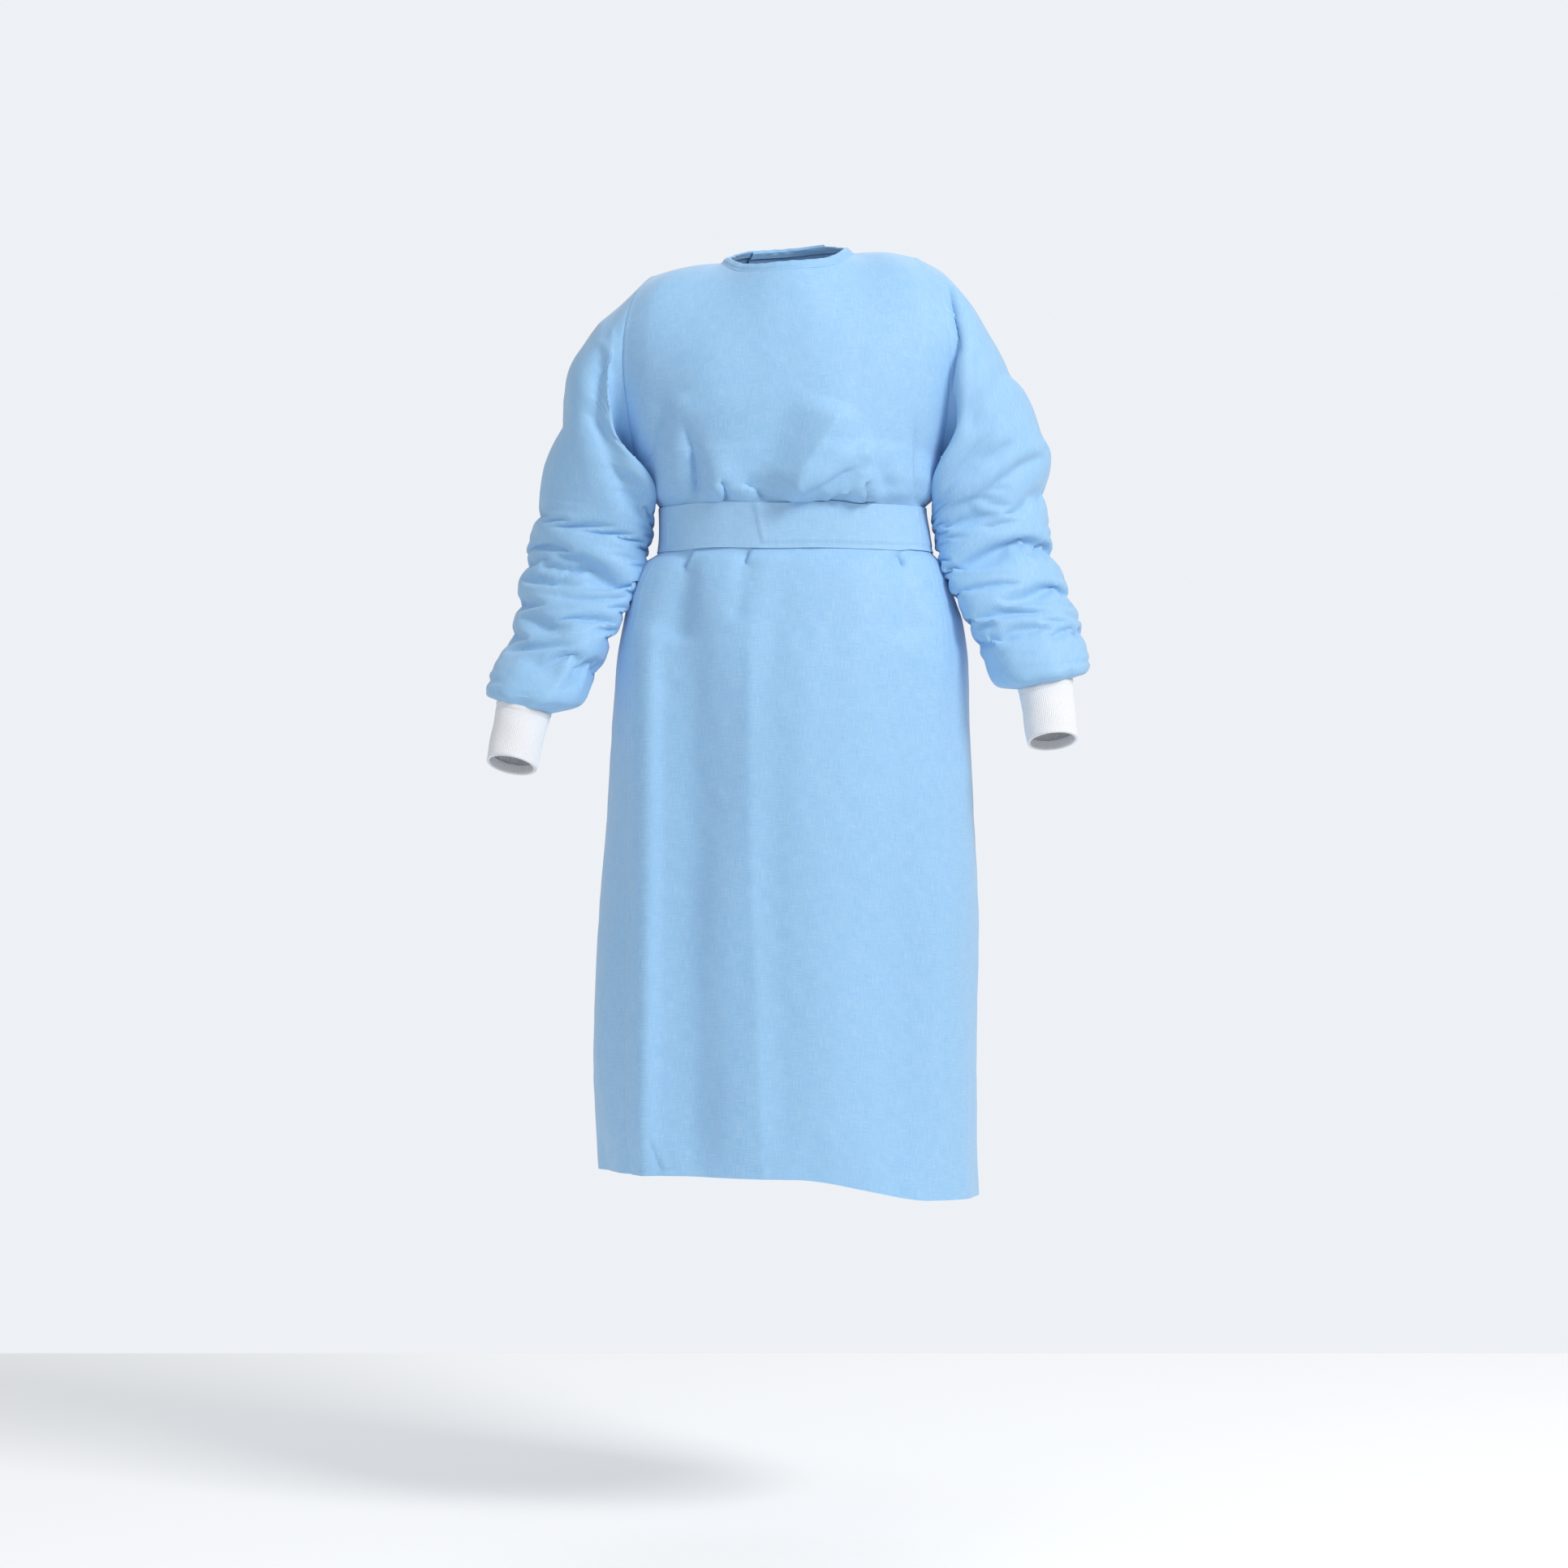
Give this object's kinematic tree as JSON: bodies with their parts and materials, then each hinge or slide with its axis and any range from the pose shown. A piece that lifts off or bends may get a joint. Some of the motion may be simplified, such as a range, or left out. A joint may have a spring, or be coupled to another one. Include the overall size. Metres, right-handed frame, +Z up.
{
  "type": "procedure gown",
  "caption": "Worn procedure gown: open hollow body and bunched sleeves, ribbed wrist cuffs, bound round neck, lapped back and a wide belt tied behind.",
  "frame": {"origin": "level with the neck ends of the shoulder seams, midway between them: where the wearer's shoulders carry the gown", "axes": "+Z up along the wearer's height, -Y out of the gown's front, +X to the wearer's left"},
  "size_m": [0.7027, 0.3494, 1.1239],
  "materials": {
    "nonwoven_cloth": "pale blue nonwoven cloth, fine crossed grain, soft sheen",
    "knit_cuff": "white rib knit, matt",
    "hook_and_loop": "white hook-and-loop tape"
  },
  "bodies": {
    "root": {"front": "nonwoven_cloth", "back_left": "nonwoven_cloth", "back_right": "nonwoven_cloth", "sleeve_left": "nonwoven_cloth", "sleeve_right": "nonwoven_cloth", "cuff_left": "knit_cuff", "cuff_right": "knit_cuff", "neck_binding": "nonwoven_cloth", "belt": "nonwoven_cloth", "belt_knot": "nonwoven_cloth", "belt_tail_left": "nonwoven_cloth", "belt_tail_right": "nonwoven_cloth", "neck_fastener": "hook_and_loop"}
  },
  "joints": []
}
